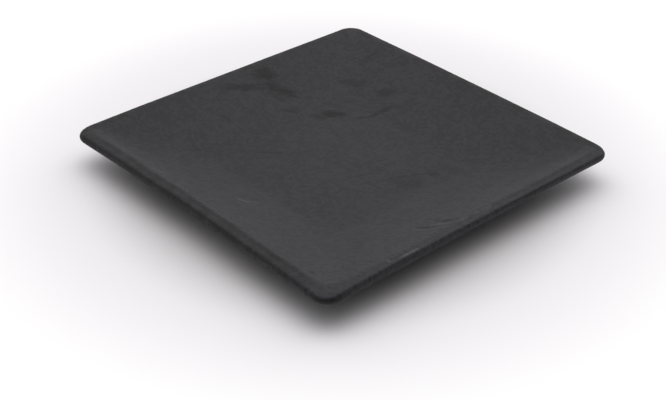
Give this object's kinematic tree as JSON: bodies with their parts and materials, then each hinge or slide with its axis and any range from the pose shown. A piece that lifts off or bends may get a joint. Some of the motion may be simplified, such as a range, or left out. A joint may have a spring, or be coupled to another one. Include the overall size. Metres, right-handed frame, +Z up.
{
  "type": "square plate",
  "caption": "Square stoneware dinner plate with a flat well, hollow walls, a narrow level rim with a round lip and a low foot ring, in dark matt glaze.",
  "frame": {"origin": "middle of the foot ring's resting plane", "axes": "+Z up out of the dish, X and Y along the plate's sides"},
  "size_m": [0.26, 0.26, 0.0269],
  "materials": {
    "bare_clay": "bare fired stoneware, fine and dry",
    "matt_glaze": "charcoal satin matt glaze with a faint mottle"
  },
  "bodies": {
    "root": {"stoneware_body": "bare_clay", "face_glaze": "matt_glaze", "base_glaze": "matt_glaze"}
  },
  "joints": []
}
